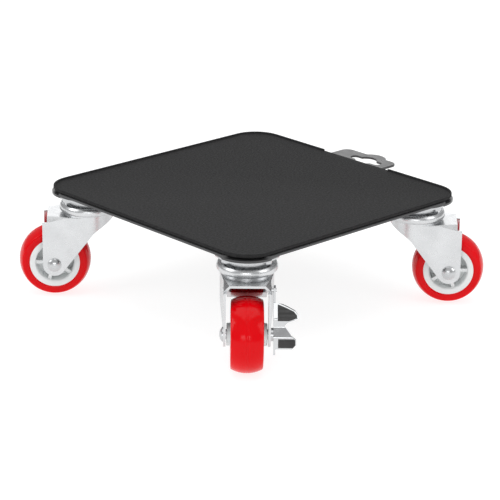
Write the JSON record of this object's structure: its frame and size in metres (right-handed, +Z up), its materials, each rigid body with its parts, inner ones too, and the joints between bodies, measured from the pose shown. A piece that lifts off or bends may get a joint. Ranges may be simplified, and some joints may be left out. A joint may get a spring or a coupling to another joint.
{
  "type": "furniture dolly",
  "caption": "Low square furniture dolly: steel plate with anti-slip mat and hang tab, on swivel casters with red wheels at the corners; diagonal pair braked.",
  "frame": {"origin": "centre of the mat's field, on its top face, where the load rests", "axes": "+Z up out of the load face, +Y towards the hang tab, +X to the right of it"},
  "size_m": [0.3789, 0.3771, 0.1189],
  "materials": {
    "plate_paint": "satin dark grey powder coat",
    "mat_rubber": "matt, finely grained",
    "tread_red": "glossy polyurethane",
    "core_white": "white moulded nylon",
    "pedal_black": "black moulded",
    "fork_zinc": "bright zinc plate",
    "brake_zinc": "bright zinc plate",
    "fastener_zinc": "zinc plate",
    "bearing_steel": "ground steel"
  },
  "bodies": {
    "platform": {"base_plate": "plate_paint", "anti_slip_mat": "mat_rubber", "mounting_bolts": "fastener_zinc", "mounting_nuts": "fastener_zinc", "lower_races": "bearing_steel", "kingpin_nuts": "fastener_zinc", "top_flange_front": "fastener_zinc", "kingpin_front": "fastener_zinc", "top_flange_right": "fastener_zinc", "kingpin_right": "fastener_zinc", "top_flange_rear": "fastener_zinc", "kingpin_rear": "fastener_zinc", "top_flange_left": "fastener_zinc", "kingpin_left": "fastener_zinc"},
    "caster_fork_front": {"fork_front": "fork_zinc", "upper_balls_front": "bearing_steel", "lower_balls_front": "bearing_steel", "axle_front": "fastener_zinc", "axle_sleeve_front": "bearing_steel", "axle_nut_front": "fastener_zinc"},
    "wheel_front": {"tread_front": "tread_red", "wheel_core_front": "core_white", "wheel_bearings_front": "bearing_steel"},
    "lever_front": {"brake_lever_front": "brake_zinc", "pedal_pads_front": "pedal_black"},
    "shoe_front": {"brake_shoe_front": "brake_zinc"},
    "caster_fork_right": {"fork_right": "fork_zinc", "upper_balls_right": "bearing_steel", "lower_balls_right": "bearing_steel", "axle_right": "fastener_zinc", "axle_sleeve_right": "bearing_steel", "axle_cap_right": "fastener_zinc"},
    "wheel_right": {"tread_right": "tread_red", "wheel_core_right": "core_white", "wheel_bearings_right": "bearing_steel"},
    "caster_fork_rear": {"fork_rear": "fork_zinc", "upper_balls_rear": "bearing_steel", "lower_balls_rear": "bearing_steel", "axle_rear": "fastener_zinc", "axle_sleeve_rear": "bearing_steel", "axle_nut_rear": "fastener_zinc"},
    "wheel_rear": {"tread_rear": "tread_red", "wheel_core_rear": "core_white", "wheel_bearings_rear": "bearing_steel"},
    "lever_rear": {"brake_lever_rear": "brake_zinc", "pedal_pads_rear": "pedal_black"},
    "shoe_rear": {"brake_shoe_rear": "brake_zinc"},
    "caster_fork_left": {"fork_left": "fork_zinc", "upper_balls_left": "bearing_steel", "lower_balls_left": "bearing_steel", "axle_left": "fastener_zinc", "axle_sleeve_left": "bearing_steel", "axle_cap_left": "fastener_zinc"},
    "wheel_left": {"tread_left": "tread_red", "wheel_core_left": "core_white", "wheel_bearings_left": "bearing_steel"}
  },
  "joints": [
    {"name": "swivel_front", "type": "hinge", "parent": "platform", "child": "caster_fork_front", "pos_m": [0.121, -0.121, -0.0189], "axis": [0, 0, 1], "continuous": true},
    {"name": "wheel_spin_front", "type": "hinge", "parent": "caster_fork_front", "child": "wheel_front", "pos_m": [0.14709, -0.14508, -0.0794], "axis": [0.6782, 0.7349, 0], "continuous": true},
    {"name": "brake_lever_front", "type": "hinge", "parent": "caster_fork_front", "child": "lever_front", "pos_m": [0.14709, -0.14508, -0.0794], "axis": [0.6782, 0.7349, 0], "range_deg": [0, 16]},
    {"name": "brake_shoe_front", "type": "slide", "parent": "caster_fork_front", "child": "shoe_front", "axis": [0.5546, -0.5118, -0.6561], "range_m": [0, 0.0028]},
    {"name": "swivel_right", "type": "hinge", "parent": "platform", "child": "caster_fork_right", "pos_m": [0.121, 0.121, -0.0189], "axis": [0, 0, 1], "continuous": true},
    {"name": "wheel_spin_right", "type": "hinge", "parent": "caster_fork_right", "child": "wheel_right", "pos_m": [0.14645, 0.14575, -0.0794], "axis": [-0.6972, 0.7169, 0], "continuous": true},
    {"name": "swivel_rear", "type": "hinge", "parent": "platform", "child": "caster_fork_rear", "pos_m": [-0.121, 0.121, -0.0189], "axis": [0, 0, 1], "continuous": true},
    {"name": "wheel_spin_rear", "type": "hinge", "parent": "caster_fork_rear", "child": "wheel_rear", "pos_m": [-0.14475, 0.14738, -0.0794], "axis": [-0.7431, -0.6691, 0], "continuous": true},
    {"name": "brake_lever_rear", "type": "hinge", "parent": "caster_fork_rear", "child": "lever_rear", "pos_m": [-0.14475, 0.14738, -0.0794], "axis": [-0.7431, -0.6691, 0], "range_deg": [0, 16]},
    {"name": "brake_shoe_rear", "type": "slide", "parent": "caster_fork_rear", "child": "shoe_rear", "axis": [-0.505, 0.5609, -0.6561], "range_m": [0, 0.0028]},
    {"name": "swivel_left", "type": "hinge", "parent": "platform", "child": "caster_fork_left", "pos_m": [-0.121, -0.121, -0.0189], "axis": [0, 0, 1], "continuous": true},
    {"name": "wheel_spin_left", "type": "hinge", "parent": "caster_fork_left", "child": "wheel_left", "pos_m": [-0.1441, -0.14795, -0.0794], "axis": [0.7593, -0.6508, 0], "continuous": true}
  ],
  "couplings": [
    {"joint": "brake_shoe_front", "follows": "brake_lever_front", "m_per_rad": 0.01002},
    {"joint": "brake_shoe_rear", "follows": "brake_lever_rear", "m_per_rad": 0.01002}
  ]
}
